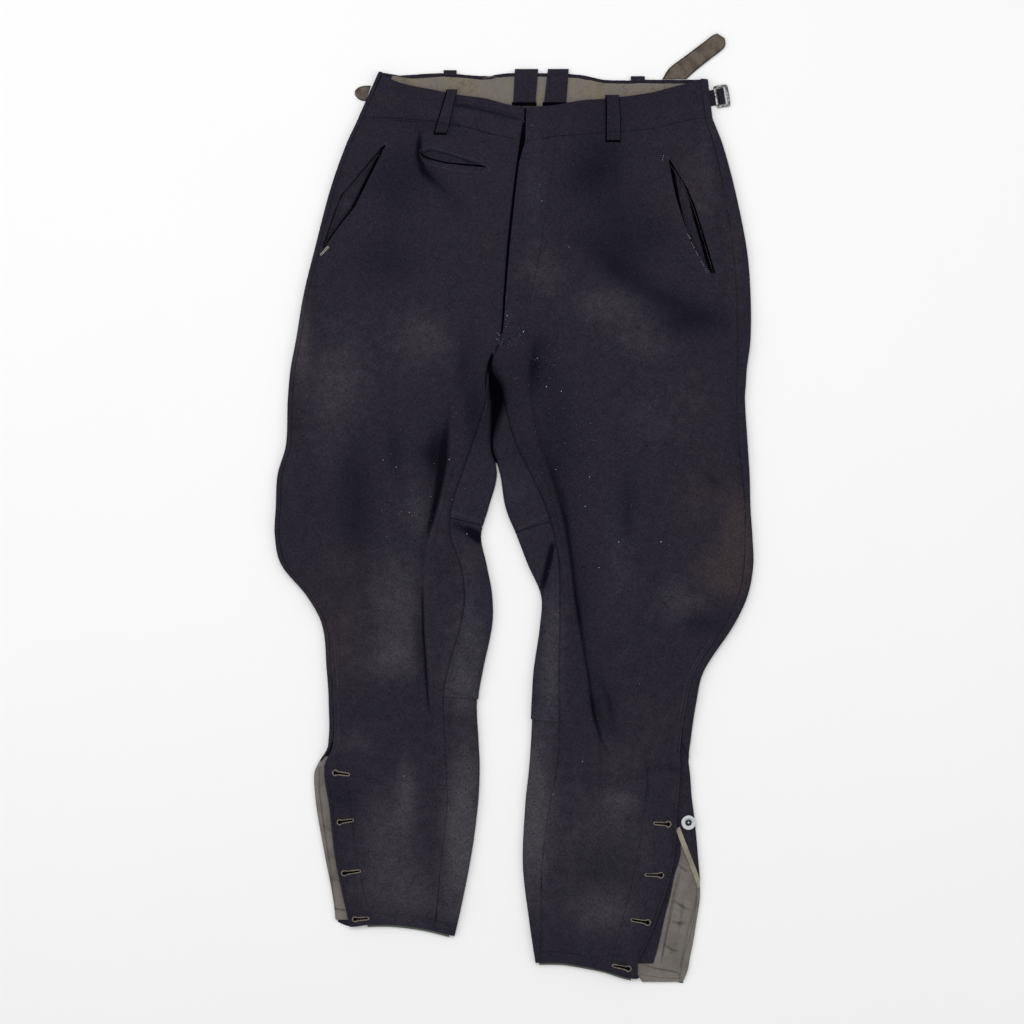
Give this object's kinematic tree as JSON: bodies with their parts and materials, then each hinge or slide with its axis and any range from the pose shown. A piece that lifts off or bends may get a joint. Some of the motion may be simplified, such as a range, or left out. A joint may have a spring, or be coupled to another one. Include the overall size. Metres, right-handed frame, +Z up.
{
  "type": "riding breeches",
  "caption": "Navy wool riding breeches laid flat, front up, with full thighs, narrow calves, inner leg patches, calf plackets, a waist strap and a small steel strap buckle",
  "frame": {"origin": "middle of the bounding box in plan, on the plane Z = 0 that the cloth rests on", "axes": "+Y points up the garment to its waist, +X to the wearer's left, +Z up out of the table, towards the viewer; the front is up"},
  "size_m": [0.5162, 1.0246, 0.0127],
  "materials": {
    "navy_wool": "heavy napped wool",
    "worn_navy_wool": "worn wool",
    "grey_lining": "plain cotton",
    "olive_brown_strap": "cotton twill",
    "dark_steel": "tarnished",
    "pale_button": "smooth"
  },
  "bodies": {
    "breeches": {"back_right": "navy_wool", "back_left": "navy_wool", "front_right": "navy_wool", "front_left": "navy_wool", "waistband_right": "navy_wool", "waistband_left": "navy_wool", "waistband_back": "navy_wool", "belt_loop_right": "navy_wool", "belt_loop_left": "navy_wool", "back_loop_right": "navy_wool", "back_loop_left": "navy_wool", "back_tab_right": "navy_wool", "back_tab_left": "navy_wool", "buckle_stay": "navy_wool", "hip_facing_right": "navy_wool", "hip_facing_left": "navy_wool", "watch_facing": "navy_wool", "placket_left": "navy_wool", "thigh_patch_right": "worn_navy_wool", "thigh_patch_left": "worn_navy_wool", "knee_patch_right": "worn_navy_wool", "knee_patch_left": "worn_navy_wool", "waistband_lining": "grey_lining", "placket_right": "grey_lining", "placket_facing": "grey_lining", "hem_right": "grey_lining", "hem_left": "grey_lining", "strap_tab": "olive_brown_strap", "strap_end": "olive_brown_strap", "button": "pale_button"},
    "buckle": {"buckle": "dark_steel"}
  },
  "joints": [
    {"name": "buckle_swing", "type": "hinge", "parent": "breeches", "child": "buckle", "pos_m": [0.225, 0.4444, 0.0022], "axis": [-0.1616, 0.9869, 0], "range_deg": [0, 100]}
  ]
}
